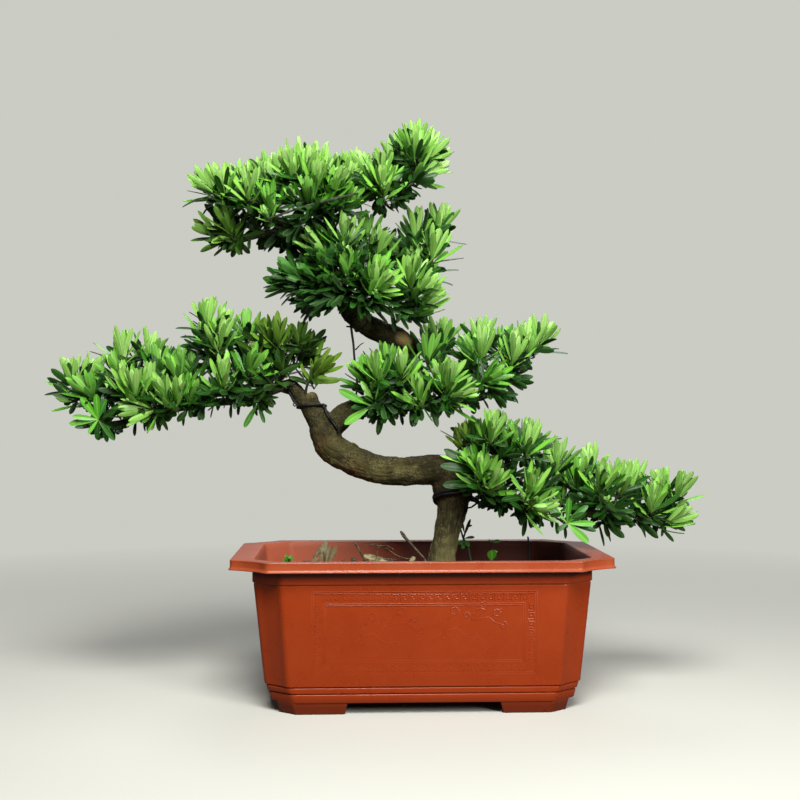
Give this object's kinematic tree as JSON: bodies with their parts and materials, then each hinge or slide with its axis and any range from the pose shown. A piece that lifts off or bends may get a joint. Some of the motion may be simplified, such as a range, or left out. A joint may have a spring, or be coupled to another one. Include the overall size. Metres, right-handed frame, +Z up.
{
  "type": "potted bonsai tree",
  "caption": "Small-leaved podocarp bonsai with a bent trunk and layered leaf pads, wired, in a rectangular footed plastic pot.",
  "frame": {"origin": "on the ground under the middle of the pot, in the plane of the undersides of the four feet", "axes": "+Z up the tree, +X to the viewer's right along the pot's long side, +Y away from the viewer"},
  "size_m": [0.7151, 0.225, 0.6226],
  "materials": {
    "terracotta_plastic": "satin",
    "potting_soil": "matte",
    "bark": "matte",
    "foliage": "satin",
    "black_wire": "satin",
    "dead_leaves": "matte",
    "dead_wood": "matte",
    "seedlings": "satin"
  },
  "bodies": {
    "root": {"pot": "terracotta_plastic", "soil": "potting_soil", "trunk": "bark", "left_branch": "foliage", "right_branch": "foliage", "low_branch": "foliage", "middle_left_branch": "foliage", "middle_front_branch": "foliage", "middle_right_branch": "foliage", "crown_low_branch": "foliage", "crown_left_branch": "foliage", "crown_right_branch": "foliage", "knot_sprout": "foliage", "trunk_tie": "black_wire", "fork_wire": "black_wire", "guy_wire": "black_wire", "anchor_wire": "black_wire", "dry_leaves_left": "dead_leaves", "dry_leaves_right": "dead_leaves", "dead_twig": "dead_wood", "seedling_left": "seedlings", "seedling_right": "seedlings", "weed": "seedlings"}
  },
  "joints": []
}
